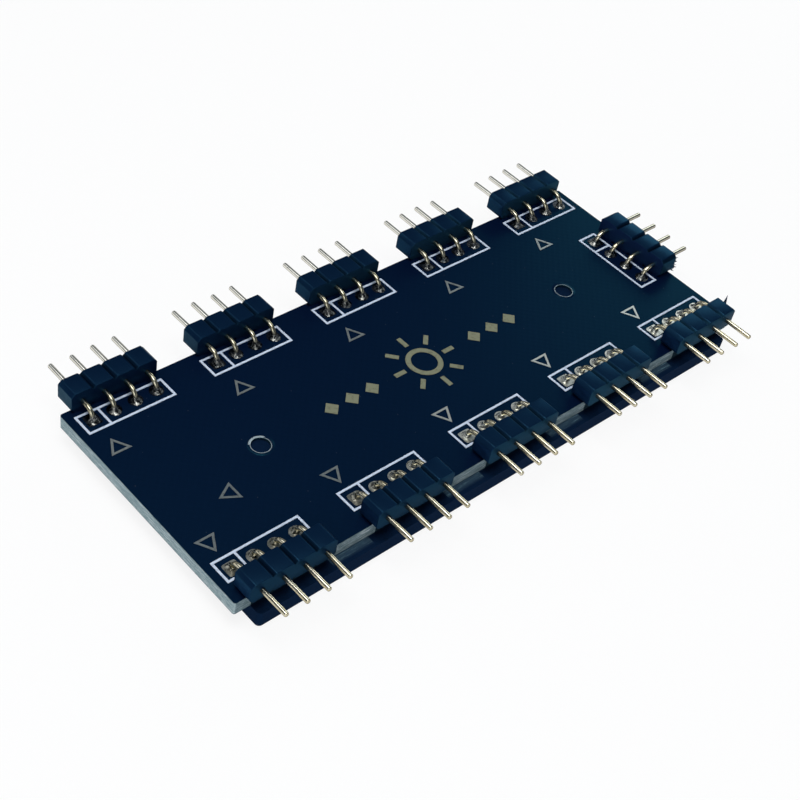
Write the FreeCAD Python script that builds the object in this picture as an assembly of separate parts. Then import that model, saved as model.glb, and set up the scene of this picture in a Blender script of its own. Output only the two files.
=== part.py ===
import FreeCAD, Part
import math
import os

# RGB lighting hub: a black circuit board that splits one lighting lead into ten.
# Right-angle pin headers stand along the back, front and right edges, and a black
# plate closes the underside. Millimetres, +Z up. The origin is the middle of the
# plate's underside, +X runs along the board and +Y points to its back edge.

# Header standard
PIN_PITCH = 2.54
PINS_PER_HEADER = 4
HOUSING_HEIGHT = 2.5
HOUSING_DEPTH = 2.5
GROOVE_DEPTH = 0.42

# Pins of round wire
PIN_DIAMETER = 0.56
PIN_REACH = 3.6
PIN_TIP_LENGTH = 0.14
PIN_TIP_DIAMETER = 0.36
BEND_RADIUS = 0.6
TAIL_LENGTH = 1.0
PIN_FIT = 0.02

# Board and rows of headers
BOARD_WIDTH = 28.4
BOARD_THICKNESS = 1.6
BOARD_CORNER_RADIUS = 0.25
HEADERS_PER_ROW = 5
HEADER_PITCH = 15.24
ROW_END_MARGIN = 1.04
BACK_PAD_INSET = 2.5
FRONT_PAD_INSET = 3.6
RIGHT_PAD_INSET = 4.0
RIGHT_HEADER_OFFSET = 0.4
DRILL_CLEARANCE = 0.3

# Solder
PAD_RING = 0.4
SOLDER_WALL = 0.06
SOLDER_BELOW_BEND = 0.15

# Pins, drilled holes and solder joints repeat so often that their rounds are octagons
SMALL_ROUND_SIDES = 8
BEND_STEPS = 4

# Printed marks
PRINT_THICKNESS = 0.05
OUTLINE_LINE = 0.25
OUTLINE_TO_HOUSING = 0.56
MARK_SIDE = 2.35
MARK_LINE = 0.24
BACK_MARK_GAP = 2.87
FRONT_MARK_GAP = 2.15
SIDE_MARK_X = -28.2
SIDE_MARK_Y = -3.35

# Backing plate
PLATE_FLOOR = 0.6
TAIL_CLEARANCE = 0.4
TAIL_ROOM = 0.62
PLATE_END_INSET = 1.9
PLATE_OVERHANG = 1.4
PLATE_CORNER_RADIUS = 0.5
PLATE_EDGE_CHAMFER = 0.15
PEG_SPACING = 45.0
PEG_DIAMETER = 2.3
PEG_FIT = 0.1
PEG_BELOW_TOP = 0.3
PEG_HOLE_CHAMFER = 0.12

# Sizes and levels that follow from the ones above
HEADER_LENGTH = PINS_PER_HEADER * PIN_PITCH
PAD_TO_HOUSING = PIN_PITCH / 2 + OUTLINE_LINE / 2 + OUTLINE_TO_HOUSING
HOUSING_FRONT = PAD_TO_HOUSING + HOUSING_DEPTH
PIN_TIP = HOUSING_FRONT + PIN_REACH
PIN_HEIGHT = HOUSING_HEIGHT / 2
BEND_BOTTOM = PIN_HEIGHT - BEND_RADIUS
PIN_RADIUS = PIN_DIAMETER / 2
BORE_RADIUS = PIN_RADIUS + PIN_FIT
DRILL_RADIUS = PIN_RADIUS + DRILL_CLEARANCE / 2
SOLDER_RADIUS = DRILL_RADIUS + PAD_RING
SOLDER_TOP_RADIUS = BORE_RADIUS + SOLDER_WALL
SOLDER_HEIGHT = BEND_BOTTOM - SOLDER_BELOW_BEND
MARK_HEIGHT = MARK_SIDE * math.sqrt(3) / 2

BOARD_LENGTH = (HEADERS_PER_ROW - 1) * HEADER_PITCH + HEADER_LENGTH + 2 * ROW_END_MARGIN
BACK_PADS = BOARD_WIDTH / 2 - BACK_PAD_INSET
FRONT_PADS = -BOARD_WIDTH / 2 + FRONT_PAD_INSET
RIGHT_PADS = BOARD_LENGTH / 2 - RIGHT_PAD_INSET

CHANNEL_DEPTH = TAIL_LENGTH + TAIL_CLEARANCE
CHANNEL_WIDTH = PIN_DIAMETER + 2 * TAIL_ROOM
PLATE_THICKNESS = PLATE_FLOOR + CHANNEL_DEPTH
PLATE_LENGTH = BOARD_LENGTH - 2 * PLATE_END_INSET
PLATE_WIDTH = BOARD_WIDTH + 2 * PLATE_OVERHANG
PEG_HOLE_RADIUS = PEG_DIAMETER / 2 + PEG_FIT

BOARD_BOTTOM = PLATE_THICKNESS
BOARD_TOP = BOARD_BOTTOM + BOARD_THICKNESS

UP = FreeCAD.Vector(0, 0, 1)


def polygon(points):
    """A closed wire through the given points."""
    return Part.makePolygon(points + points[:1])


def rectangle(x0, y0, x1, y1, z=0):
    corners = [(x0, y0), (x1, y0), (x1, y1), (x0, y1)]
    return polygon([FreeCAD.Vector(x, y, z) for x, y in corners])


def small_ring(radius, y, z, turned=0):
    """Corners of a small round that faces up, or that is turned down towards +Y by an angle."""
    away = FreeCAD.Vector(0, math.cos(turned), -math.sin(turned))
    corners = []
    for side in range(SMALL_ROUND_SIDES):
        angle = 2 * math.pi * (side + 1 / 2) / SMALL_ROUND_SIDES
        corner = FreeCAD.Vector(radius * math.cos(angle), y, z) + away * (radius * math.sin(angle))
        corners.append(corner)
    return corners


def skin(rings):
    """A flat-sided solid through rings of corners, closed at both ends."""
    faces = [Part.Face(polygon(rings[0][::-1])), Part.Face(polygon(rings[-1]))]
    for low, high in zip(rings, rings[1:]):
        for side in range(SMALL_ROUND_SIDES):
            before = side - 1
            faces.append(Part.Face(polygon([low[before], low[side], high[side], high[before]])))
    return Part.Solid(Part.Shell(faces))


def face_with_holes(outer, holes):
    return Part.makeFace([outer] + holes, "Part::FaceMakerBullseye")


def rounded_slab(length, width, height, radius):
    """A slab centred on the Z axis, standing on z = 0, with round vertical corners."""
    slab = Part.makeBox(length, width, height, FreeCAD.Vector(-length / 2, -width / 2, 0))
    upright = [edge for edge in slab.Edges if edge.BoundBox.ZLength > height / 2]
    return slab.makeFillet(radius, upright)


def pin_places():
    """The pins' places along a header, counted from its middle."""
    first = -(PINS_PER_HEADER - 1) / 2 * PIN_PITCH
    return [first + index * PIN_PITCH for index in range(PINS_PER_HEADER)]


class Header:
    """One header's place on the board: the middle of its pad line and the way its pins point."""

    def __init__(self, name, x, y, angle, first_pin_side):
        self.name = name
        self.placement = FreeCAD.Placement(
            FreeCAD.Vector(x, y, BOARD_TOP), FreeCAD.Rotation(UP, angle))
        self.first_pin_side = first_pin_side

    def place(self, shape):
        copy = shape.copy()
        copy.Placement = self.placement.multiply(copy.Placement)
        return copy

    def pads(self):
        return [self.placement.multVec(FreeCAD.Vector(x, 0, 0)) for x in pin_places()]


def make_headers():
    headers = []
    first = -(HEADERS_PER_ROW - 1) / 2 * HEADER_PITCH
    for index in range(HEADERS_PER_ROW):
        x = first + index * HEADER_PITCH
        headers.append(Header("back_%d" % (index + 1), x, BACK_PADS, 0, -1))
        headers.append(Header("front_%d" % (index + 1), x, FRONT_PADS, 180, 1))
    headers.append(Header("right", RIGHT_PADS, RIGHT_HEADER_OFFSET, -90, -1))
    return headers


def make_housing():
    """A snapped-off length of header strip: half a V groove is left at each broken end."""
    half_pitch = PIN_PITCH / 2
    flat = half_pitch - GROOVE_DEPTH
    top = []
    for x in pin_places():
        top.append(FreeCAD.Vector(x - half_pitch, PAD_TO_HOUSING, HOUSING_HEIGHT - GROOVE_DEPTH))
        top.append(FreeCAD.Vector(x - flat, PAD_TO_HOUSING, HOUSING_HEIGHT))
        top.append(FreeCAD.Vector(x + flat, PAD_TO_HOUSING, HOUSING_HEIGHT))
    end = HEADER_LENGTH / 2
    top.append(FreeCAD.Vector(end, PAD_TO_HOUSING, HOUSING_HEIGHT - GROOVE_DEPTH))
    bottom = [FreeCAD.Vector(p.x, p.y, HOUSING_HEIGHT - p.z) for p in reversed(top)]
    body = Part.Face(polygon(top + bottom)).extrude(FreeCAD.Vector(0, HOUSING_DEPTH, 0))
    level = math.pi / 2
    bore = skin([small_ring(BORE_RADIUS, y, PIN_HEIGHT, level) for y in (PAD_TO_HOUSING, HOUSING_FRONT)])
    bores = [bore.translated(FreeCAD.Vector(x, 0, 0)) for x in pin_places()]
    return body.cut(Part.makeCompound(bores))


def make_pin():
    """One bent pin: upright wire from the tail, a quarter turn, and a level arm with a blunt tip."""
    level = math.pi / 2
    rings = [small_ring(PIN_RADIUS, 0, -BOARD_THICKNESS - TAIL_LENGTH)]
    for step in range(BEND_STEPS + 1):
        turned = level * step / BEND_STEPS
        y = BEND_RADIUS * (1 - math.cos(turned))
        z = BEND_BOTTOM + BEND_RADIUS * math.sin(turned)
        rings.append(small_ring(PIN_RADIUS, y, z, turned))
    rings.append(small_ring(PIN_RADIUS, PIN_TIP - PIN_TIP_LENGTH, PIN_HEIGHT, level))
    rings.append(small_ring(PIN_TIP_DIAMETER / 2, PIN_TIP, PIN_HEIGHT, level))
    return skin(rings)


def make_pins():
    pin = make_pin()
    return Part.makeCompound([pin.translated(FreeCAD.Vector(x, 0, 0)) for x in pin_places()])


def make_solder_joints():
    """Solder fillets round the four pins of a header, on the board's top face."""
    bore = skin([small_ring(BORE_RADIUS, 0, z) for z in (0, SOLDER_HEIGHT)])
    fillet = skin([small_ring(SOLDER_RADIUS, 0, 0), small_ring(SOLDER_TOP_RADIUS, 0, SOLDER_HEIGHT)])
    joint = fillet.cut(bore)
    return Part.makeCompound([joint.translated(FreeCAD.Vector(x, 0, 0)) for x in pin_places()])


def make_outline(first_pin_side):
    """The printed frame round a header's pads, with a divider beside the first pin."""
    line = OUTLINE_LINE / 2
    end = HEADER_LENGTH / 2
    reach = PIN_PITCH / 2
    divider = end - PIN_PITCH
    outer = rectangle(-end - line, -reach - line, end + line, reach + line)
    first = rectangle(divider + line, -reach + line, end - line, reach - line)
    rest = rectangle(-end + line, -reach + line, divider - line, reach - line)
    frame = face_with_holes(outer, [first, rest]).extrude(UP * PRINT_THICKNESS)
    if first_pin_side < 0:
        frame.rotate(FreeCAD.Vector(0, 0, 0), UP, 180)
    return frame


def make_mark():
    """A printed triangle outline whose tip is at the origin and points along +Y."""
    centre = FreeCAD.Vector(0, -MARK_HEIGHT * 2 / 3, 0)
    corners = [FreeCAD.Vector(0, 0, 0), FreeCAD.Vector(-MARK_SIDE / 2, -MARK_HEIGHT, 0),
               FreeCAD.Vector(MARK_SIDE / 2, -MARK_HEIGHT, 0)]
    inner_share = 1 - MARK_LINE / (MARK_HEIGHT / 3)
    inner = [centre + (corner - centre) * inner_share for corner in corners]
    return face_with_holes(polygon(corners), [polygon(inner)]).extrude(UP * PRINT_THICKNESS)


def make_marks(headers):
    """One triangle in line with each row header's first pin, and one that points to the left end."""
    mark = make_mark()
    marks = []
    for header in headers:
        if header.name == "right":
            continue
        gap = BACK_MARK_GAP if header.name.startswith("back") else FRONT_MARK_GAP
        first_pin = header.first_pin_side * (HEADER_LENGTH - PIN_PITCH) / 2
        marks.append(header.place(mark.translated(FreeCAD.Vector(first_pin, -gap, 0))))
    side_mark = mark.copy()
    side_mark.Placement = FreeCAD.Placement(
        FreeCAD.Vector(SIDE_MARK_X - MARK_HEIGHT, SIDE_MARK_Y, BOARD_TOP), FreeCAD.Rotation(UP, 90))
    return Part.makeCompound(marks + [side_mark])


def peg_places():
    return [FreeCAD.Vector(side * PEG_SPACING / 2, 0, 0) for side in (-1, 1)]


def make_board(headers):
    """The laminate, with a drilled hole for every pin and a chamfered hole for each peg."""
    board = rounded_slab(BOARD_LENGTH, BOARD_WIDTH, BOARD_THICKNESS, BOARD_CORNER_RADIUS)
    drill = skin([small_ring(DRILL_RADIUS, 0, z) for z in (0, BOARD_THICKNESS)])
    drills = []
    for header in headers:
        for pad in header.pads():
            drills.append(drill.translated(FreeCAD.Vector(pad.x, pad.y, 0)))
    for place in peg_places():
        drills.append(Part.makeCylinder(PEG_HOLE_RADIUS, BOARD_THICKNESS, place))
        rim = place + UP * (BOARD_THICKNESS - PEG_HOLE_CHAMFER)
        rim_radius = PEG_HOLE_RADIUS + PEG_HOLE_CHAMFER
        drills.append(Part.makeCone(PEG_HOLE_RADIUS, rim_radius, PEG_HOLE_CHAMFER, rim))
    board = board.cut(Part.makeCompound(drills))
    return board.translated(UP * BOARD_BOTTOM)


def make_plate():
    """The backing plate: channels clear the pin tails, and two pegs locate the board."""
    plate = rounded_slab(PLATE_LENGTH, PLATE_WIDTH, PLATE_THICKNESS, PLATE_CORNER_RADIUS)
    rims = [edge for edge in plate.Edges if edge.BoundBox.ZLength < PLATE_EDGE_CHAMFER
            and edge.BoundBox.ZMax < PLATE_THICKNESS / 2]
    plate = plate.makeChamfer(PLATE_EDGE_CHAMFER, rims)
    half = CHANNEL_WIDTH / 2
    for row in (BACK_PADS, FRONT_PADS):
        corner = FreeCAD.Vector(-PLATE_LENGTH / 2, row - half, PLATE_FLOOR)
        plate = plate.cut(Part.makeBox(PLATE_LENGTH, CHANNEL_WIDTH, CHANNEL_DEPTH, corner))
    pocket_length = HEADER_LENGTH - PIN_PITCH + CHANNEL_WIDTH
    corner = FreeCAD.Vector(RIGHT_PADS - half, RIGHT_HEADER_OFFSET - pocket_length / 2, PLATE_FLOOR)
    plate = plate.cut(Part.makeBox(CHANNEL_WIDTH, pocket_length, CHANNEL_DEPTH, corner))
    peg_height = BOARD_TOP - PEG_BELOW_TOP - PLATE_FLOOR
    for place in peg_places():
        plate = plate.fuse(Part.makeCylinder(PEG_DIAMETER / 2, peg_height, place + UP * PLATE_FLOOR))
    return plate.removeSplitter()


def save(shape, node):
    shape.exportStep("parts/%s.step" % node)
    print(node, "solids", len(shape.Solids), "volume %.2f" % shape.Volume, "valid", shape.isValid())


def main():
    os.makedirs("parts", exist_ok=True)
    headers = make_headers()
    save(make_plate(), "backing_plate")
    save(make_board(headers), "circuit_board")

    housing = make_housing()
    pins = make_pins()
    for header in headers:
        save(header.place(housing), "header_housing_" + header.name)
        save(header.place(pins), "header_pins_" + header.name)

    joints = make_solder_joints()
    for row in ("back", "front", "right"):
        row_headers = [header for header in headers if header.name.startswith(row)]
        solids = [solid for header in row_headers for solid in header.place(joints).Solids]
        save(Part.makeCompound(solids), "solder_joints_" + row)

    outlines = [header.place(make_outline(header.first_pin_side)) for header in headers]
    save(Part.makeCompound(outlines), "printed_outlines")
    save(make_marks(headers), "printed_triangles")


main()
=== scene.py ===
# %% [markdown]
# # A lighting hub, dressed from bare solids to a studio shot
# The real thing is a small black circuit board that shares one lighting lead among ten light strips.
# Four-way pin headers stand along its edges, and a black plate closes its underside.
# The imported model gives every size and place, so this lesson only adds what solids lack: rounded
# edges, bent wire, solder, ink and finishes.

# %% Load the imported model
import math
import random
import bmesh
import bpy
from mathutils import Matrix, Vector, noise


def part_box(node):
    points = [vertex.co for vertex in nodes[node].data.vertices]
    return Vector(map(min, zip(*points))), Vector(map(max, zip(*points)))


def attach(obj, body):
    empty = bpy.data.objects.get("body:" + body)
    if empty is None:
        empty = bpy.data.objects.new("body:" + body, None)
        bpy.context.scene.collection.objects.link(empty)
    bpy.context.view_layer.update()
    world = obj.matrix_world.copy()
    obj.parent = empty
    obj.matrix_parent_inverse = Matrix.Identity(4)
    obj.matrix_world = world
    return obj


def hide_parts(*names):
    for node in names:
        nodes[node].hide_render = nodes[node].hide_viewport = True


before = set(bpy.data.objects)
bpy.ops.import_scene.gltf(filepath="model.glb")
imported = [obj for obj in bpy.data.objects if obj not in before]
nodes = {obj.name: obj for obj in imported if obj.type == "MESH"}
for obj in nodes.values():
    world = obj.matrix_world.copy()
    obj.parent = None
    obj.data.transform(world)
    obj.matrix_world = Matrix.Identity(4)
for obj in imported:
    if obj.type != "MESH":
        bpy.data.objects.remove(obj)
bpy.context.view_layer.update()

print("loaded", len(nodes), "nodes")

# %% [markdown]
# ## Millimetres
# Blender works in metres here, but every size on a circuit board is a few millimetres. Keeping the
# lesson's own numbers in millimetres makes them easy to check against a ruler, and one factor
# turns them into metres when a mesh is made.

# %% Units and boxes
MM = 0.001
UP = Vector((0, 0, 1))


def box_mm(node):
    low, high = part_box(node)
    return low / MM, high / MM


board_low, board_high = box_mm("circuit_board")
BOARD_TOP = board_high.z
print("board in mm", [round(v, 2) for v in board_high - board_low])

# %% [markdown]
# ## Where each header stands
# All eleven headers are the same part turned three ways. A small class keeps each one's own axes:
# `along` runs down the row of pins, `out` is the way the pins point. It reads its place from the
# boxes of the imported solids, so a changed board moves the looks with it.

# %% Header places
PINS = 4
HEADERS_IN_ROW = 5


class Header:
    """One header; its origin lies on the board's top, in the middle of its line of pads."""

    def __init__(self, name, out, first_pin_side):
        self.name = name
        self.out = Vector(out)
        self.along = self.out.cross(UP)
        self.first_pin_side = first_pin_side
        low, high = box_mm("header_housing_" + name)
        size = high - low
        self.length = abs(size.dot(self.along))
        self.depth = abs(size.dot(self.out))
        self.height = size.z
        middle = (low + high) / 2
        solder_low, solder_high = box_mm("solder_joints_" + name.split("_")[0])
        pad_line = ((solder_low + solder_high) / 2).dot(self.out)
        to_pads = pad_line - middle.dot(self.out)
        self.origin = middle + self.out * to_pads
        self.origin.z = BOARD_TOP
        self.back = -to_pads - self.depth / 2
        self.front = -to_pads + self.depth / 2
        tip_low, tip_high = box_mm("header_pins_" + name)
        self.tip = max(tip_low.dot(self.out), tip_high.dot(self.out)) - pad_line
        self.pitch = self.length / PINS

    def at(self, along, out, up):
        return self.origin + self.along * along + self.out * out + UP * up

    def pin_places(self):
        return [(index - (PINS - 1) / 2) * self.pitch for index in range(PINS)]


headers = []
for number in range(1, HEADERS_IN_ROW + 1):
    headers.append(Header("back_%d" % number, (0, 1, 0), -1))
    headers.append(Header("front_%d" % number, (0, -1, 0), 1))
headers.append(Header("right", (1, 0, 0), -1))
print("headers", len(headers), "pitch", round(headers[0].pitch, 3), "tip", round(headers[0].tip, 3))

# %% [markdown]
# ## Camera
# The photograph looks down on the front left corner from about 42 degrees, with the camera rolled
# a little. Place, aim and roll come from fitting the board's outline, and the lens gives the same
# narrowing towards the far end. A plain look-at with a roll is easier to read than Euler angles.

# %% Camera
CAMERA_PLACE = Vector((-91.75, -72.97, 108.54))
CAMERA_AIM = Vector((-6.26, -2.95, 3.6))
CAMERA_ROLL = math.radians(12.42)
SENSOR = 36.0
LENS = 65.34
NEAREST = 5.0

forward = (CAMERA_AIM - CAMERA_PLACE).normalized()
level_right = forward.cross(UP).normalized()
level_up = level_right.cross(forward)
right = level_right * math.cos(CAMERA_ROLL) + level_up * math.sin(CAMERA_ROLL)
upright = right.cross(forward)
lens_data = bpy.data.cameras.new("camera")
lens_data.sensor_width = SENSOR
lens_data.lens = LENS
lens_data.clip_start = NEAREST * MM
camera = bpy.data.objects.new("camera", lens_data)
turn = Matrix((right, upright, -forward)).transposed().to_4x4()
camera.matrix_world = Matrix.Translation(CAMERA_PLACE * MM) @ turn
bpy.context.scene.collection.objects.link(camera)
bpy.context.scene.camera = camera
print("camera", round((CAMERA_AIM - CAMERA_PLACE).length), "mm from its aim")

# %% [markdown]
# ## Shader maths as plain expressions
# A finish is a web of nodes, and most of them only add or multiply. `Value` wraps one socket, so
# that `1 - mask * 0.5` adds the Math nodes by itself. `Web` has one method, `node`, for every other
# kind of node, and `Finish` is a web that starts as a plain material.


# %% Value and Web
class Value:
    def __init__(self, web, socket):
        self.web = web
        self.socket = socket

    def math(self, operation, *numbers):
        inputs = dict(enumerate(numbers))
        return self.web.node("ShaderNodeMath", {"operation": operation}, inputs)

    def __add__(self, other):
        return self.math("ADD", self, other)

    def __radd__(self, other):
        return self.math("ADD", other, self)

    def __sub__(self, other):
        return self.math("SUBTRACT", self, other)

    def __rsub__(self, other):
        return self.math("SUBTRACT", other, self)

    def __mul__(self, other):
        return self.math("MULTIPLY", self, other)

    def __rmul__(self, other):
        return self.math("MULTIPLY", other, self)

    def __gt__(self, other):
        return self.math("GREATER_THAN", self, other)

    def __lt__(self, other):
        return self.math("LESS_THAN", self, other)

    def __abs__(self):
        return self.math("ABSOLUTE", self)

    def sine(self):
        return self.math("SINE", self)

    def clamp(self):
        return self.web.node("ShaderNodeClamp", {}, {"Value": self})

    def ramp(self, low, high):
        """0 below low, 1 above high, and a smooth rise between."""
        settings = {"interpolation_type": "SMOOTHSTEP"}
        return self.web.node("ShaderNodeMapRange", settings,
                             {"Value": self, "From Min": low, "From Max": high})


class Web:
    def __init__(self, tree):
        self.tree = tree

    def node(self, kind, settings, inputs, output=0):
        made = self.tree.nodes.new(kind)
        for key, setting in settings.items():
            if key == "stops":
                for index, (position, colour) in enumerate(setting):
                    ramp = made.color_ramp.elements
                    stop = ramp[index] if index < len(ramp) else ramp.new(position)
                    stop.position = position
                    stop.color = (*colour, 1)
            else:
                setattr(made, key, setting)
        for key, value in inputs.items():
            self.feed(made.inputs[key], value)
        return Value(self, made.outputs[output])

    def feed(self, socket, value):
        if isinstance(value, Value):
            self.tree.links.new(value.socket, socket)
        elif isinstance(value, tuple) and len(value) < len(socket.default_value):
            socket.default_value = (*value, 1)
        else:
            socket.default_value = value

    def split(self, vector):
        made = self.node("ShaderNodeSeparateXYZ", {}, {"Vector": vector}).socket.node
        return [Value(self, made.outputs[axis]) for axis in "XYZ"]


print("shader maths ready")

# %% A finish
# The Mix node keeps sockets for every kind of data; these are the ones for colours.
MIX_FACTOR, MIX_FIRST, MIX_SECOND, MIX_RESULT = 0, 6, 7, 2


class Finish(Web):
    """A material; x, y and z are places in millimetres, and normal is the way a face looks."""

    def __init__(self, name):
        self.material = bpy.data.materials.new(name)
        self.material.use_nodes = True
        super().__init__(self.material.node_tree)
        self.shader = self.tree.nodes["Principled BSDF"]
        where = self.node("ShaderNodeTexCoord", {}, {}, "Object")
        self.normal = self.split(self.node("ShaderNodeTexCoord", {}, {}, "Normal"))
        self.place = self.node("ShaderNodeVectorMath", {"operation": "SCALE"},
                               {"Vector": where, "Scale": 1 / MM})
        self.x, self.y, self.z = self.split(self.place)

    def stretch(self, sx, sy, sz):
        return self.node("ShaderNodeVectorMath", {"operation": "MULTIPLY"},
                         {0: self.place, 1: (sx, sy, sz)})

    def grain(self, scale, detail=3.0, roughness=0.5, place=None):
        """Cloudy noise; scale is about how many blotches there are in a millimetre."""
        inputs = {"Vector": place or self.place, "Scale": scale, "Detail": detail, "Roughness": roughness}
        return self.node("ShaderNodeTexNoise", {}, inputs)

    def specks(self, scale):
        """Distance to scattered points, small near each of them."""
        return self.node("ShaderNodeTexVoronoi", {}, {"Vector": self.place, "Scale": scale})

    def blend(self, factor, first, second):
        """first where factor is 0, second where it is 1."""
        inputs = {MIX_FACTOR: factor, MIX_FIRST: first, MIX_SECOND: second}
        return self.node("ShaderNodeMix", {"data_type": "RGBA"}, inputs, MIX_RESULT)

    def bump(self, height, depth_mm, strength):
        self.set(Normal=self.node("ShaderNodeBump", {}, {
            "Height": height, "Distance": depth_mm * MM, "Strength": strength}))

    def set(self, **sockets):
        for key, value in sockets.items():
            self.feed(self.shader.inputs[key.replace("_", " ")], value)


print("finishes work in millimetres, with a factor of", round(1 / MM))

# %% [markdown]
# ## Gloss that keeps its tint
# Dark plastic in the photograph mirrors its surroundings in blue. A usual index of refraction turns
# every edge-on face white, so here the index is high and a dark, coloured tint holds the gloss down.
# A face counts as looking along an axis when its normal's share of that axis is above `FACING`.

# %% Gloss and dressing
FACING = 0.9
GLOSS_INDEX = 4.0
GLOSS_SHARE = ((GLOSS_INDEX - 1) / (GLOSS_INDEX + 1)) ** 2


def tinted_gloss(finish, *reflectance):
    """A weak coloured gloss: the share of red, green and blue light that a face mirrors."""
    tint = tuple(part / GLOSS_SHARE for part in reflectance)
    finish.set(IOR=GLOSS_INDEX, Specular_IOR_Level=0.5, Specular_Tint=tint)


def wear(finish, node):
    """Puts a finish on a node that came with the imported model."""
    node.data.materials.clear()
    node.data.materials.append(finish.material)
    print(finish.material.name, "is worn by", node.name)


print("untinted gloss would mirror", round(GLOSS_SHARE, 2))

# %% [markdown]
# ## Floor, room and lamps
# A small dark object on white is mostly lit by what surrounds it. The floor is white, the room is
# pale near the horizon and dim overhead, and four soft lamps do the rest: a wide one above, one
# behind that draws a bright line along each pin, one low behind the right end that puts a sheen on
# the far half of the board, and a weak fill.
# The floor mixes plain white with a little real shading, so that the hub keeps a soft shadow.

# %% Floor
FLOOR_SIDE = 6.0
FLOOR_GAP = 0.02
FLOOR_SHADING = 0.14

floor_mesh = bpy.data.meshes.new("floor")
half = FLOOR_SIDE / 2
plate_low = box_mm("backing_plate")[0]
floor_level = (plate_low.z - FLOOR_GAP) * MM
corners = [(-half, -half), (half, -half), (half, half), (-half, half)]
floor_mesh.from_pydata([(x, y, floor_level) for x, y in corners], [], [(0, 1, 2, 3)])
floor = bpy.data.objects.new("floor", floor_mesh)
bpy.context.scene.collection.objects.link(floor)

floor_finish = Finish("white_floor")
floor_finish.set(Base_Color=(0.93, 0.935, 0.94), Roughness=0.9)
paths = floor_finish.node("ShaderNodeLightPath", {}, {}).socket.node
seen = Value(floor_finish, paths.outputs["Is Camera Ray"])
for path in ("Is Glossy Ray", "Is Transmission Ray"):
    seen = seen.math("MAXIMUM", seen, Value(floor_finish, paths.outputs[path]))
glow = floor_finish.node("ShaderNodeEmission", {}, {"Color": (1.0, 1.0, 1.0), "Strength": 1.0})
mixed = floor_finish.node("ShaderNodeMixShader", {}, {
    0: seen * (1 - FLOOR_SHADING), 1: Value(floor_finish, floor_finish.shader.outputs[0]), 2: glow})
floor_finish.feed(floor_finish.tree.nodes["Material Output"].inputs["Surface"], mixed)
floor_mesh.materials.append(floor_finish.material)
print("floor at", round(floor_level / MM, 3), "mm")

# %% Room
SKY_STOPS = [(0.06, (0.90, 0.93, 0.97)), (0.28, (0.07, 0.09, 0.11))]

room = bpy.data.worlds.new("room")
bpy.context.scene.world = room
room.use_nodes = True
sky = Web(room.node_tree)
height = sky.split(sky.node("ShaderNodeTexCoord", {}, {}, "Generated"))[2]
shade = sky.node("ShaderNodeValToRGB", {"stops": SKY_STOPS}, {"Fac": height})
sky.feed(sky.tree.nodes["Background"].inputs["Color"], shade)
bpy.context.scene.view_settings.view_transform = "Standard"
print("room: pale at the horizon, dim overhead")


# %% Lamps
def soft_lamp(name, place, aim, side, watts, colour=(1, 1, 1)):
    data = bpy.data.lights.new(name, "AREA")
    data.size = side * MM
    data.energy = watts
    data.color = colour
    lamp = bpy.data.objects.new(name, data)
    lamp.location = Vector(place) * MM
    lamp.rotation_euler = (Vector(aim) - Vector(place)).to_track_quat("-Z", "Y").to_euler()
    bpy.context.scene.collection.objects.link(lamp)
    print(name, watts, "W")


soft_lamp("overhead", place=(-60, -40, 420), aim=(0, 0, 0), side=240, watts=1.25)
soft_lamp("behind", place=(-90, 260, 300), aim=(0, 0, 0), side=200, watts=0.20)
soft_lamp("far_right", place=(262, 96, 98), aim=(20, 0, 0), side=120, watts=0.16, colour=(0.9, 0.98, 1.0))
soft_lamp("fill", place=(-260, -220, 160), aim=(0, 0, 0), side=200, watts=0.32)

# %% [markdown]
# ## The coated board
# The board is woven glass in resin under a dark coating, and its cut edges are bare. One material
# covers both: the direction that a face looks in tells coating from cut edge. The coating shows
# the weave below it as a faint relief and carries a few specks of dust.

# %% Board coating
WEAVE_PITCH = 0.46
DUST_SIZE = 0.035

coated_board = Finish("coated_board")
flat = abs(coated_board.normal[2]) > FACING
warp = (coated_board.x * (math.pi / WEAVE_PITCH)).sine()
weft = (coated_board.y * (math.pi / WEAVE_PITCH)).sine()
weave = warp * weft * 0.5 + 0.5
cloud = coated_board.grain(0.09, detail=2.0)
fine = coated_board.grain(9.0, detail=4.0)
dust = coated_board.specks(0.7) < DUST_SIZE
coat_tone = coated_board.blend(cloud, (0.0008, 0.0030, 0.0182), (0.0011, 0.0038, 0.0210))
coat_tone = coated_board.blend(weave * 0.3, coat_tone, (0.0018, 0.0064, 0.0264))
coat_tone = coated_board.blend(dust * 0.12, coat_tone, (0.30, 0.33, 0.36))
print("coating over a weave of", WEAVE_PITCH, "mm")

# %% [markdown]
# The cut edges show pale layers of glass with loose fibres, between two thin skins of coating. The
# long edges are painted darker than the ends, a painted shade, and below each housing they get a
# deep painted shade. The headers stand at equal steps, so a coordinate that is folded back and
# forth tells how far the nearest is.

# %% Cut edges
LAYER_PITCH = 0.2
COAT_SKIN = 0.07
HEADER_HALF = headers[0].length / 2
HEADER_SPACING = headers[2].origin.x - headers[0].origin.x
SHADE_SHIFT = 0.45


def from_header(x):
    """Distance along the board to the middle of the nearest header."""
    return x.math("PINGPONG", x, HEADER_SPACING / 2)


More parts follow.
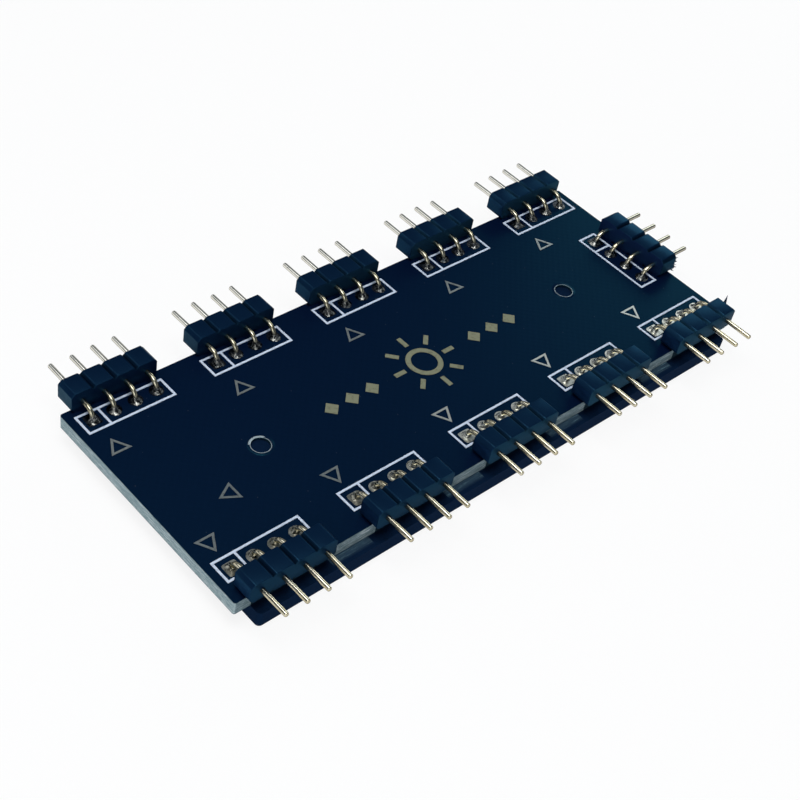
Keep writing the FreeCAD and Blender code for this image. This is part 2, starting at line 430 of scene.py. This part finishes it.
layers = (coated_board.z * (2 * math.pi / LAYER_PITCH)).sine() * 0.5 + 0.5
fibres = coated_board.grain(1.0, 5.0, 0.7, coated_board.stretch(2.2, 2.2, 14.0))
streaks = coated_board.grain(1.0, 4.0, 0.7, coated_board.stretch(0.5, 0.5, 9.0)).ramp(0.52, 0.62)
long_edge = abs(coated_board.normal[1]) > FACING
skin = (coated_board.z > BOARD_TOP - COAT_SKIN) + (coated_board.z < board_low.z + COAT_SKIN)
shaded = long_edge * (from_header(coated_board.x - SHADE_SHIFT) < HEADER_HALF - SHADE_SHIFT)
edge_tone = coated_board.blend(fibres.ramp(0.3, 0.7), (0.15, 0.22, 0.24), (0.42, 0.51, 0.53))
# Painted shade: the long edges are darker than the ends.
edge_tone = coated_board.blend(long_edge * 0.6, edge_tone, (0.05, 0.08, 0.10))
edge_tone = coated_board.blend(streaks * 0.6, edge_tone, (0.70, 0.76, 0.78))
edge_tone = coated_board.blend(layers * 0.25, edge_tone, (0.12, 0.17, 0.18))
edge_tone = coated_board.blend(skin.clamp() * 0.6, edge_tone, (0.02, 0.05, 0.07))
# Painted shade on the long edges below each housing.
edge_tone = coated_board.blend(shaded * 0.95, edge_tone, (0.002, 0.006, 0.016))
print("edges of", round((BOARD_TOP - board_low.z) / LAYER_PITCH), "layers, shaded every",
      round(HEADER_SPACING, 2), "mm")

# %% [markdown]
# Round the two peg holes the drill has chipped the coating away in a thin, broken ring, with one
# larger chip at the left hole. Inside the holes the cut edge is painted dark, a painted shade.

# %% Peg hole rims
PEG_PLACE = 22.5
COLLAR_INNER, COLLAR_OUTER = 1.02, 1.42
RIM_WIDTH, CHIP_WIDTH = 0.10, 0.26
CHIP_FROM = 0.7

from_hole = abs(coated_board.x) - PEG_PLACE
hole_square = from_hole * from_hole + coated_board.y * coated_board.y
chipped = coated_board.grain(0.9, roughness=0.6)
rim = (hole_square < (COLLAR_INNER + RIM_WIDTH) ** 2) * (0.5 + 0.5 * chipped.ramp(0.30, 0.60))
chip = (hole_square < (COLLAR_INNER + CHIP_WIDTH) ** 2) * (coated_board.y > CHIP_FROM)
chip = chip * (coated_board.x < 0)
coat_tone = coated_board.blend((rim * 0.7 + chip * 0.8).clamp(), coat_tone, (0.36, 0.43, 0.46))
in_hole = hole_square < COLLAR_OUTER ** 2
# Painted shade: the cut edge inside the holes is dark.
edge_tone = coated_board.blend(in_hole, edge_tone, (0.006, 0.020, 0.034))
coated_board.set(Base_Color=coated_board.blend(flat, edge_tone, coat_tone))
coated_board.set(Roughness=0.86 - flat * (0.54 - 0.08 * fine))
tinted_gloss(coated_board, 0.0030, 0.0175, 0.0215)
relief = flat * (weave * 0.35 + fine * 0.25) + (1 - flat) * fibres
coated_board.bump(relief, depth_mm=0.02, strength=0.6)
wear(coated_board, nodes["circuit_board"])

# %% [markdown]
# ## The backing plate
# A plain black moulding, matt from a spark-eroded mould. That texture is a random field of tiny
# pits, so fine noise drives both the relief and the roughness. Between the headers the ledge in
# front of the board gets a painted light in thin streaks of painted glint, fading away from the
# board's edge; below the housings it stays dark.

# %% Plate finish
LOOKS_UP = 0.6
LEDGE_FADE = (0.45, 1.05)

plate_plastic = Finish("plate_plastic")
pits = plate_plastic.grain(6.0, detail=5.0, roughness=0.65)
glint_streaks = plate_plastic.grain(1.0, 4.0, 0.7, plate_plastic.stretch(0.35, 12.0, 12.0))
glints = glint_streaks.ramp(0.54, 0.66)
past_board = abs(plate_plastic.y) - board_high.y
# Painted light: pale streaks of painted glint on the ledge between the headers, near the board's edge.
ledge = (plate_plastic.normal[2] > LOOKS_UP) * (past_board > 0) * (1 - past_board.ramp(*LEDGE_FADE))
ledge = ledge * (from_header(plate_plastic.x) > HEADER_HALF)
plate_tone = plate_plastic.blend(pits, (0.0012, 0.0048, 0.0170), (0.0026, 0.0095, 0.0270))
plate_tone = plate_plastic.blend(ledge * (0.2 + glints * 0.8), plate_tone, (0.10, 0.18, 0.22))
plate_plastic.set(Base_Color=plate_tone, Roughness=0.50 + pits * 0.2)
tinted_gloss(plate_plastic, 0.0025, 0.0080, 0.0200)
plate_plastic.bump(pits, depth_mm=0.03, strength=0.7)
wear(plate_plastic, nodes["backing_plate"])

# %% [markdown]
# ## Ink and open tin
# The white outlines and a tan symbol are screen-printed. Ink lies a twentieth of a millimetre
# thick, covers unevenly, and lets a little of the dark board through at thin spots, so noise
# darkens it in patches and gives it a dry, slightly rough surface. The triangles are different:
# there the coating is left open, and the tinned copper below shines. A painted sheen makes the tin
# paler on the right half of the front row, and a little paler on the back row.

# %% Ink finishes
SHEEN_TIN = (0.80, 0.81, 0.74)
SHEEN_FADE = (-22, -2)
MIDDLE_BAND = 4


def painted_sheen(finish):
    """Painted sheen on tin: 1 on the right half of the front row, 0 elsewhere."""
    return finish.x.ramp(*SHEEN_FADE) * (finish.y < -MIDDLE_BAND)


def thin_layer(finish, cover, dryness, depth_mm):
    """The skin of a thin layer: a fine tooth, and relief where it covers more."""
    tooth = finish.grain(16.0, detail=2.0)
    finish.set(Roughness=dryness + tooth * 0.2, Specular_IOR_Level=0.3)
    finish.bump(tooth * 0.5 + cover * 0.5, depth_mm, strength=0.5)


def ink(name, colour, thin_colour):
    finish = Finish(name)
    cover = finish.grain(2.4, detail=4.0, roughness=0.6)
    finish.set(Base_Color=finish.blend(cover.ramp(0.30, 0.52), thin_colour, colour))
    thin_layer(finish, cover, dryness=0.62, depth_mm=0.02)
    return finish


white_ink = ink("white_ink", (0.57, 0.65, 0.78), (0.42, 0.49, 0.61))
tan_ink = ink("tan_ink", (0.185, 0.195, 0.125), (0.13, 0.138, 0.09))
wear(white_ink, nodes["printed_outlines"])

open_tin = Finish("triangle_ink")
thin_layer(open_tin, open_tin.grain(2.4, detail=4.0, roughness=0.6), dryness=0.28, depth_mm=0.003)
patches = open_tin.grain(2.4).ramp(0.3, 0.52)
tin_tone = open_tin.blend(patches, (0.20, 0.225, 0.225), (0.27, 0.305, 0.305))
# Painted sheen on the open tin, strongest on the right half of the front row.
tin_sheen = painted_sheen(open_tin) * 0.58 + (open_tin.y > MIDDLE_BAND) * 0.13
open_tin.set(Base_Color=open_tin.blend(tin_sheen, tin_tone, SHEEN_TIN), Metallic=0.8)
wear(open_tin, nodes["printed_triangles"])

# %% [markdown]
# ## Making a piece
# Every new piece goes through the same steps: a mesh from points in millimetres, normals that all
# look outwards, smooth shading that breaks at real corners, and a ride on the hub's one body.
# Round things share a few helpers: steps round a circle, a skin over a stack of rings, and a way
# to join several little meshes into one.


# %% Mesh helpers
def angles(count):
    """Equal steps once round a circle."""
    return [2 * math.pi * step / count for step in range(count)]


def tube_faces(rings, sides):
    """Faces round a stack of rings that have the same number of sides, closed at both ends."""
    faces = []
    for ring in range(rings - 1):
        low, high = ring * sides, (ring + 1) * sides
        for side in range(sides):
            after = (side + 1) % sides
            faces.append([low + side, low + after, high + after, high + side])
    last = (rings - 1) * sides
    return faces + [list(range(sides)), list(range(last, last + sides))]


def join(parts):
    """Points and faces of several little meshes as one."""
    points, faces = [], []
    for part_points, part_faces in parts:
        offset = len(points)
        points += part_points
        faces += [[offset + index for index in face] for face in part_faces]
    return points, faces


print("a tube of two square rings has", len(tube_faces(2, 4)), "faces")

# %% Piece helper
SHARP = math.radians(38)


def make_piece(name, points, faces, finishes, stands_for=(), slot=None, face_finish=None):
    mesh = bpy.data.meshes.new(name)
    mesh.from_pydata([point * MM for point in points], [], faces)
    for finish in finishes:
        mesh.materials.append(finish.material)
    if face_finish:
        mesh.polygons.foreach_set("material_index", face_finish)
    shell = bmesh.new()
    shell.from_mesh(mesh)
    bmesh.ops.recalc_face_normals(shell, faces=shell.faces)
    shell.to_mesh(mesh)
    shell.free()
    mesh.polygons.foreach_set("use_smooth", [True] * len(mesh.polygons))
    mesh.set_sharp_from_angle(angle=SHARP)
    made = bpy.data.objects.new(name, mesh)
    bpy.context.scene.collection.objects.link(made)
    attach(made, "root")
    if stands_for:
        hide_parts(*stands_for)


print("corners above", round(math.degrees(SHARP)), "degrees stay sharp")

# %% [markdown]
# ## Header housings
# Headers are cut from a long moulded strip: V grooves between the pins let it snap. The moulding
# has softly rounded edges and a fine grain, and the two ends are broken necks, torn and paler.
# The plastic is glossy enough to mirror the white surroundings in its outer faces and the dark
# board in its inner ones, and its grooves are painted dark, a painted shade. A painted reflection
# pales some faces: the left ends of the back row, the front faces towards the right, and the inner
# face of the right header.

# %% Housing finishes
GROOVE = 0.42
GROOVE_SLOPE = 0.4
GROOVE_FADE = (0.03, 0.14)
HOUSING_TOP = BOARD_TOP + headers[0].height
INNER_HALF = HEADER_HALF - GROOVE - 0.1
RIGHT_GROOVES, RIGHT_HOUSING = board_high.x - 2.5, board_high.x - 4
LEFT_LIGHT_FADE = (-42, 2)
FRONT_SHEEN_FADE = (-25, 15)


def moulded(name, pale):
    """Black moulded plastic; pale is 0 for its skin and more where it was torn."""
    finish = Finish(name)
    grain = finish.grain(11.0, detail=4.0, roughness=0.6)
    mottle = finish.grain(0.8) * 0.7 + grain * 0.3
    low_tone = tuple(part * (1 + pale) for part in (0.0011, 0.0050, 0.0192))
    high_tone = tuple(part * (1 + pale) for part in (0.0017, 0.0074, 0.0260))
    tone = finish.blend(mottle, low_tone, high_tone)
    inner = (from_header(finish.x) < INNER_HALF) + (finish.x > RIGHT_GROOVES)
    # Painted shade in the grooves between the pins.
    depth = (HOUSING_TOP - finish.z).ramp(*GROOVE_FADE) * (finish.normal[2] > GROOVE_SLOPE)
    tone = finish.blend(depth * inner.clamp() * 0.85, tone, (0.0002, 0.0010, 0.0050))
    # Painted reflections: paler left ends of the back row, front faces and the right header's inner face.
    looks_left = finish.normal[0] < -FACING
    left_end_light = looks_left * (finish.y > 0) * (1 - finish.x.ramp(*LEFT_LIGHT_FADE))
    tone = finish.blend(left_end_light * 0.8, tone, (0.035, 0.060, 0.080))
    front_sheen = (finish.normal[1] < -FACING) * finish.x.ramp(*FRONT_SHEEN_FADE)
    tone = finish.blend(front_sheen * 0.9, tone, (0.0055, 0.0215, 0.0415))
    inner_sheen = looks_left * (finish.x > RIGHT_HOUSING)
    tone = finish.blend(inner_sheen * 0.9, tone, (0.0045, 0.0118, 0.0455))
    finish.set(Base_Color=tone, Roughness=0.28 + grain * 0.12 + pale * 0.2)
    tinted_gloss(finish, 0.0058, 0.0225, 0.0370)
    finish.bump(grain, depth_mm=0.012 + pale * 0.05, strength=0.5)
    return finish


housing_plastic = moulded("housing_plastic", pale=0.0)
torn_plastic = moulded("torn_plastic", pale=0.6)
print("housing tops at", round(HOUSING_TOP, 2), "mm")

# %% [markdown]
# The side view of a strip is drawn once, pulled out to the strip's depth and bevelled at its outer
# corners. Between the pins the grooves are narrow notches, and at the ends they are half grooves.

# %% Housing strip
NOTCH = 0.30
EDGE_ROUND = 0.06
ROUND_STEPS = 3
CORNER = 0.3


def side_view(header):
    """Outline of the strip with its grooves, as (along, up) points."""
    top = []
    for index, place in enumerate(header.pin_places()):
        start, stop = place - header.pitch / 2, place + header.pitch / 2
        before = GROOVE if index == 0 else NOTCH
        after = GROOVE if index == PINS - 1 else NOTCH
        top += [(start, header.height - before), (start + before, header.height),
                (stop - after, header.height)]
    top.append((header.length / 2, header.height - GROOVE))
    return top + [(a, header.height - u) for a, u in reversed(top)]


def strip_body(header):
    outline = side_view(header)
    count = len(outline)
    solid = bmesh.new()
    rings = []
    for depth in (header.back, header.front):
        rings.append([solid.verts.new(header.at(a, depth, u)) for a, u in outline])
    for index in range(count):
        after = (index + 1) % count
        solid.faces.new((rings[0][index], rings[0][after], rings[1][after], rings[1][index]))
    solid.faces.new(rings[0])
    solid.faces.new(list(reversed(rings[1])))
    bmesh.ops.recalc_face_normals(solid, faces=solid.faces)
    outer = [edge for edge in solid.edges if edge.calc_face_angle_signed() > CORNER]
    bmesh.ops.bevel(solid, geom=outer, offset=EDGE_ROUND, segments=ROUND_STEPS, profile=0.5,
                    affect="EDGES")
    solid.verts.index_update()
    points = [vertex.co.copy() for vertex in solid.verts]
    faces = [[vertex.index for vertex in face.verts] for face in solid.faces]
    solid.free()
    return points, faces


print("side view of", len(side_view(headers[0])), "points")

# %% [markdown]
# Each broken end gets a small torn patch, a grid of points that noise lifts off the end. Its rim
# sinks into the strip, and a back face closes it.

# %% Torn ends and housings
TEAR_ROWS = 7
TEAR_DEPTH = 0.20
TEAR_SCALE = 2
PATCH_LIFT, PATCH_SINK = 0.005, 0.01


def torn_patch(header, side):
    """A rough little cushion on one broken end."""
    points, faces = [], []
    for row in range(TEAR_ROWS):
        for column in range(TEAR_ROWS):
            s, t = row / (TEAR_ROWS - 1), column / (TEAR_ROWS - 1)
            out = header.back + EDGE_ROUND + s * (header.depth - 2 * EDGE_ROUND)
            up = GROOVE + EDGE_ROUND + t * (header.height - 2 * GROOVE - 2 * EDGE_ROUND)
            inside = min(s, 1 - s, t, 1 - t) > 0
            spot = header.at(side, out * TEAR_SCALE, up * TEAR_SCALE)
            tear = abs(noise.noise(spot)) * TEAR_DEPTH if inside else -PATCH_SINK
            points.append(header.at(side * (header.length / 2 + PATCH_LIFT + tear), out, up))
    for row in range(TEAR_ROWS - 1):
        for column in range(TEAR_ROWS - 1):
            first = row * TEAR_ROWS + column
            cell = [first, first + 1, first + TEAR_ROWS + 1, first + TEAR_ROWS]
            # The cut through a cell points at the patch's middle, so that no corner lies flat.
            if (row < TEAR_ROWS // 2) != (column < TEAR_ROWS // 2):
                cell = cell[1:] + cell[:1]
            faces += [cell[:3], [cell[0], cell[2], cell[3]]]
    last_row = TEAR_ROWS * (TEAR_ROWS - 1)
    around = list(range(TEAR_ROWS))
    around += range(2 * TEAR_ROWS - 1, last_row, TEAR_ROWS)
    around += range(last_row + TEAR_ROWS - 1, last_row - 1, -1)
    around += range(last_row - TEAR_ROWS, 0, -TEAR_ROWS)
    return points, faces + [around]


for header in headers:
    body = strip_body(header)
    points, faces = join([body, torn_patch(header, -1), torn_patch(header, 1)])
    torn = [0] * len(body[1]) + [1] * (len(faces) - len(body[1]))
    make_piece("housing_" + header.name, points, faces, [housing_plastic, torn_plastic],
               ["header_housing_" + header.name], "housing_plastic", torn)
print("housings", len(headers), "faces each", len(faces))

# %% [markdown]
# ## Pins
# Each pin is a short length of round gold-plated wire. Handling keeps it bright, with a little
# tarnish. The pins behind the board are painted palest, a painted reflection of the white floor,
# and the right header's pins are greyer. The bends of the back row are a dull olive, and the feet
# and the roots beside the front housings are painted dark, a painted shade.

# %% Pin finish
ROOT_LENGTH = 0.9
FRONT_FACE = -box_mm("header_housing_front_1")[0].y
BACK_PADS_FROM, FRONT_PADS_TO = 8, -9
FOOT_SHADE_FADE = (0.45, 1.0)

gold = Finish("pin_gold")
tarnish = gold.grain(1.1, detail=4.0, roughness=0.6)
scuffs = gold.grain(5.0, roughness=0.6)
gold_tone = gold.blend(tarnish.ramp(0.35, 0.7), (0.54, 0.49, 0.34), (0.72, 0.67, 0.53))
# Painted reflection: the pins behind the board are paler.
gold_tone = gold.blend((gold.y > board_high.y) * 0.7, gold_tone, (0.93, 0.92, 0.87))
gold_tone = gold.blend((gold.x > board_high.x) * 0.6, gold_tone, (0.40, 0.39, 0.36))
bent = (gold.y > BACK_PADS_FROM) * (gold.y < board_high.y)
gold_tone = gold.blend(bent * 0.7, gold_tone, (0.27, 0.255, 0.185))
# Painted shade on the feet near the board.
foot_shade = (1 - (gold.z - BOARD_TOP).ramp(*FOOT_SHADE_FADE)) * (gold.y > FRONT_PADS_TO)
gold_tone = gold.blend(foot_shade * 0.7, gold_tone, (0.08, 0.08, 0.068))
# Painted shade at the roots beside the front housings.
ahead = 0 - gold.y
root = (ahead > FRONT_FACE - ROOT_LENGTH) * (1 - ahead.ramp(FRONT_FACE, FRONT_FACE + ROOT_LENGTH))
gold.set(Base_Color=gold.blend(root * 0.6, gold_tone, (0.05, 0.06, 0.06)))
gold.set(Metallic=1.0, Roughness=0.15 + scuffs * 0.14, Specular_Tint=(0.2, 0.19, 0.15))
gold.bump(scuffs, depth_mm=0.0015, strength=0.5)
print("front housings end at", round(FRONT_FACE, 2), "mm")

# %% [markdown]
# The wire is bent down into the board and cut off with a blunt end. The bend is a lazy one, so a
# smooth curve guided by four points sets the line. A circle is swept along it and closed with a few
# shrinking rings. No two pins on a real header are quite parallel, so each leans by a few
# hundredths of a millimetre.

# %% Pin mesh
WIRE_RADIUS = 0.27
WIRE_SIDES = 14
FOOT_DEPTH = 0.5
BEND_GUIDE = (Vector((0, -0.1)), Vector((0.3, 0.75)), Vector((0.45, 1.2)), Vector((1.7, 1.25)))
BEND_STEPS = 12
BLUNT_END = ((0.14, 1), (0.07, 0.92), (0.02, 0.72), (0, 0.4))
CUT_SPREAD = 0.12
LEAN = 0.05


def wire_path(header, length):
    """Stations from the foot to the tip: out, up, direction of travel and width."""
    stations = [(0, -FOOT_DEPTH, math.pi / 2, 1)]
    for step in range(BEND_STEPS + 1):
        t = step / BEND_STEPS
        line = list(BEND_GUIDE)
        while len(line) > 2:
            line = [a.lerp(b, t) for a, b in zip(line, line[1:])]
        spot, heading = line[0].lerp(line[1], t), line[1] - line[0]
        stations.append((spot.x, spot.y, math.atan2(heading.y, heading.x), 1))
    for back, width in BLUNT_END:
        stations.append((length - back, header.height / 2, 0, width))
    return stations


def bent_wire(header, place, shorter, lean_along, lean_up):
    """One pin, cut a little short; it leans more and more towards its tip."""
    points = []
    reach = header.tip - shorter
    stations = wire_path(header, reach)
    for out, up, heading, width in stations:
        away = max(0.0, out - header.front) / (reach - header.front)
        for angle in angles(WIRE_SIDES):
            across = WIRE_RADIUS * width * math.cos(angle)
            above = WIRE_RADIUS * width * math.sin(angle)
            points.append(header.at(
                place + across + lean_along * away,
                out - math.sin(heading) * above,
                up + math.cos(heading) * above + lean_up * away))
    return points, tube_faces(len(stations), WIRE_SIDES)


for header in headers:
    luck = random.Random(header.name)
    wires = []
    for place in header.pin_places():
        wires.append(bent_wire(header, place, luck.uniform(0, CUT_SPREAD),
                               luck.uniform(-LEAN, LEAN), luck.uniform(-LEAN, LEAN)))
    make_piece("pins_" + header.name, *join(wires), [gold], ["header_pins_" + header.name], "pin_gold")
print("pins", len(headers) * PINS)

# %% [markdown]
# ## Pads and solder
# Under each pin is a tinned copper pad, square for the first pin and round for the others. Solder
# wets the pad and climbs the wire in a hollow curve. Flat tin looks grey and dull beside it. The
# front row is paler, and on the others the tin is painted nearly black, a painted dark reflection.
# On all of it the bright spots on the lumps are painted glints, and patches of burnt flux darken it.


# %% Pad and solder finishes
def tin(name, dull, bright, fluxed, relief, shine=1.0):
    """Solder or tinned copper: burnt flux over a share of it, lumps of a depth in mm, and a shine."""
    finish = Finish(name)
    lumps = finish.grain(2.6, detail=5.0, roughness=0.65)
    flux = finish.grain(1.7).ramp(0.62 - fluxed, 0.76 - fluxed)
    # Painted glints: the bright tone on the lumps.
    tone = finish.blend(lumps.ramp(0.42, 0.62), dull, bright)
    # Painted sheen: paler tin on the right half of the front row.
    tone = finish.blend(painted_sheen(finish) * lumps.ramp(0.3, 0.5) * 0.7, tone, SHEEN_TIN)
    finish.set(Base_Color=finish.blend(flux * 0.85, tone, (0.008, 0.012, 0.020)))
    finish.set(Metallic=shine * (1.0 - flux * 0.5), Roughness=0.14 + lumps * 0.25 + (1 - shine) * 0.3)
    finish.bump(lumps, depth_mm=relief, strength=1.0)
    return finish


# Painted dark reflection: the solder and pads of the back and right rows are nearly black.
pale_solder = tin("solder_clean", (0.12, 0.115, 0.09), (0.80, 0.76, 0.62), fluxed=0.02, relief=0.05)
dark_solder = tin("solder_burnt", (0.016, 0.020, 0.023), (0.36, 0.36, 0.33), fluxed=0.10, relief=0.06)
pale_pad = tin("pad_clean", (0.26, 0.26, 0.22), (0.55, 0.54, 0.48), fluxed=-0.05, relief=0.01, shine=0.85)
dark_pad = tin("pad_burnt", (0.003, 0.007, 0.016), (0.03, 0.034, 0.04), fluxed=0.20, relief=0.04)
print("solder finishes: pale on the front row, painted dark on the others")

# %% Pads
PAD_REACH = 0.80
PAD_SHIFT = 0.2
PAD_THICKNESS = 0.03
PAD_SQUARENESS = 9
SOLDER_SIDES = 24


def pad_reach(angle, squared):
    """How far a pad reaches in one direction: a circle, or a square with soft corners."""
    if not squared:
        return 1.0
    across, along = abs(math.cos(angle)), abs(math.sin(angle))
    return 1 / (across ** PAD_SQUARENESS + along ** PAD_SQUARENESS) ** (1 / PAD_SQUARENESS)


def pad(header, place, squared):
    points = []
    for up in (0.0, PAD_THICKNESS):
        for angle in angles(SOLDER_SIDES):
            reach = PAD_REACH * pad_reach(angle, squared)
            out = PAD_SHIFT + reach * math.sin(angle)
            points.append(header.at(place + reach * math.cos(angle), out, up))
    return points, tube_faces(2, SOLDER_SIDES)


print("a square pad's corner reaches", round(PAD_REACH * pad_reach(math.pi / 4, True), 2), "mm")

# %% [markdown]
# A fillet is a hollow curve that is turned round the pin and leans with it. Noise dents it and
# makes its height uneven, because hand soldering is never even.

# %% Solder joints
SOLDER_RINGS = 9
SOLDER_FOOT = PAD_THICKNESS * 0.6
SOLDER_TOP = 0.30
SOLDER_LEAN = 0.24
HOLLOW = 2.3
FOOT_SQUARENESS = 0.6
DENT_DEPTH, DENT_SCALE = 0.13, 1.9
LUMP_DEPTH, LUMP_SCALE = 0.25, 1.3
JOINT_HEIGHT = (0.42, 0.62)
JOINT_SPREAD = (0.93, 1.07)


def fillet(header, place, squared, height, spread):
    points = []
    for ring in range(SOLDER_RINGS):
        climb = ring / (SOLDER_RINGS - 1)
        for angle in angles(SOLDER_SIDES):
            foot = spread * pad_reach(angle, squared) ** FOOT_SQUARENESS
            reach = SOLDER_TOP + (foot - SOLDER_TOP) * (1 - climb) ** HOLLOW
            spot = header.at(place + math.cos(angle), math.sin(angle), climb)
            reach *= 1 + DENT_DEPTH * noise.noise(spot * DENT_SCALE) * (1 - 0.5 * climb)
            up = SOLDER_FOOT + height * climb * (1 + LUMP_DEPTH * noise.noise(spot * LUMP_SCALE))
            out = SOLDER_LEAN * climb + reach * math.sin(angle)
            points.append(header.at(place + reach * math.cos(angle), out, up))
    return points, tube_faces(SOLDER_RINGS, SOLDER_SIDES)


# For each row: the finish of its solder and of its pads, and how far the solder spreads.
ROWS = {"back": (dark_solder, dark_pad, 0.60), "front": (pale_solder, pale_pad, 0.50),
        "right": (dark_solder, dark_pad, 0.62)}

for row, (solder_finish, pad_finish, spread) in ROWS.items():
    joints, pads = [], []
    for header in headers:
        if not header.name.startswith(row):
            continue
        luck = random.Random("solder " + header.name)
        for place in header.pin_places():
            first = place * header.first_pin_side > header.pitch
            pads.append(pad(header, place, first))
            joints.append(fillet(header, place, first, luck.uniform(*JOINT_HEIGHT),
                                 spread * luck.uniform(*JOINT_SPREAD)))
    make_piece("solder_" + row, *join(joints), [solder_finish], ["solder_joints_" + row], "solder")
    make_piece("pads_" + row, *join(pads), [pad_finish], slot="solder")
    print("solder joints", row, len(joints))

# %% [markdown]
# ## Collars in the peg holes
# The coating runs a little way into each peg hole and leaves a thin collar there, so that the hole
# looks narrower than it was drilled. A small section, drawn as distance from the hole's middle
# and height, is carried once round each hole.

# %% Hole collars
COLLAR_SECTION = ((COLLAR_OUTER, -0.01), (COLLAR_OUTER - 0.03, 0.012), (COLLAR_INNER + 0.02, 0.012),
                  (COLLAR_INNER, -0.01), (COLLAR_INNER, -0.18), (COLLAR_INNER + 0.12, -0.18))
ARC_STEPS = 48


def turned_ring(middle, section):
    """A closed ring from a closed section of (distance, height above the board) points."""
    points, faces = [], []
    count = len(section)
    for step, angle in enumerate(angles(ARC_STEPS)):
        side = Vector((math.cos(angle), math.sin(angle), 0))
        points += [middle + side * reach + UP * (BOARD_TOP + up) for reach, up in section]
        here, there = count * step, count * ((step + 1) % ARC_STEPS)
        for corner in range(count):
            after = (corner + 1) % count
            faces.append([here + corner, there + corner, there + after, here + after])
    return points, faces


collars = [turned_ring(Vector((x, 0, 0)), COLLAR_SECTION) for x in (-PEG_PLACE, PEG_PLACE)]
make_piece("hole_collars", *join(collars), [coated_board], slot="board_laminate")
print("collars", len(collars))

# %% [markdown]
# ## Break-off burrs
# Where the strip was snapped by hand, slivers of plastic stay on the neck. Two show clearly: a
# ragged lip on the right header's near end, and a single whisker on the last front header.

# %% Burrs
LIP_SLIVERS = 12
LIP_START, LIP_STEP = 0.25, 0.16
WHISKER_WIDTH = 0.22


def sliver(header, foot, tip, width):
    """A thin four-sided spike from foot to tip, both given as (along, out, up)."""
    base = [(0, -width, 0), (0, 0, width), (0, width, 0), (0, 0, -width)]
    points = [header.at(*(f + b for f, b in zip(foot, corner))) for corner in base]
    points.append(header.at(*tip))
    return points, [[0, 1, 4], [1, 2, 4], [2, 3, 4], [3, 0, 4], [3, 2, 1, 0]]


by_name = {header.name: header for header in headers}
lip = by_name["right"]
end = lip.length / 2
luck = random.Random("lip")
slivers = []
for step in range(LIP_SLIVERS):
    up = LIP_START + step * LIP_STEP
    foot = (end - 0.1, lip.front - EDGE_ROUND - luck.uniform(0, 0.1), up)
    tip = (end + luck.uniform(0, 0.3), lip.front + luck.uniform(0.02, 0.5),
           up + luck.uniform(-0.25, 0.15))
    slivers.append(sliver(lip, foot, tip, luck.uniform(0.09, 0.2)))
last = by_name["front_%d" % HEADERS_IN_ROW]
whisker_foot = (-last.length / 2 + 0.05, last.back + 0.9, last.height - GROOVE)
whisker_tip = (-last.length / 2 - 0.75, last.back + 0.5, last.height + 0.25)
slivers.append(sliver(last, whisker_foot, whisker_tip, WHISKER_WIDTH))
make_piece("break_burrs", *join(slivers), [torn_plastic], slot="housing_plastic")
print("slivers", len(slivers))

# %% [markdown]
# ## A plain printed symbol
# The middle of the board carries a print in tan ink. A generic sign for light, a ring with eight
# rays between two rows of small diamonds, says what the hub is for.

# %% Symbol
PRINT = 0.05
RING_OUTER, RING_INNER = 2.1, 1.5
RING_SECTION = ((RING_OUTER, 0), (RING_OUTER, PRINT), (RING_INNER, PRINT), (RING_INNER, 0))
RAY_START, RAY_STOP, RAY_WIDTH = 2.8, 4.3, 0.55
RAYS = 8
DIAMOND = 0.95
DIAMOND_PLACES = (7.6, 10.4, 13.2)


def slab(outline):
    """A flat print from an outline of (x, y) points on the board's top."""
    points = [Vector((x, y, BOARD_TOP + up)) for up in (0, PRINT) for x, y in outline]
    return points, tube_faces(2, len(outline))


def ray_print(angle):
    c, s = math.cos(angle), math.sin(angle)
    half = RAY_WIDTH / 2
    ray = [(RAY_START, -half), (RAY_STOP, -half), (RAY_STOP, half), (RAY_START, half)]
    return slab([(c * x - s * y, s * x + c * y) for x, y in ray])


prints = [turned_ring(Vector(), RING_SECTION)] + [ray_print(angle) for angle in angles(RAYS)]
for place in DIAMOND_PLACES:
    for x in (-place, place):
        prints.append(slab([(x + DIAMOND, 0), (x, DIAMOND), (x - DIAMOND, 0), (x, -DIAMOND)]))
make_piece("printed_symbol", *join(prints), [tan_ink], slot="tan_ink")
print("symbol parts", len(prints))
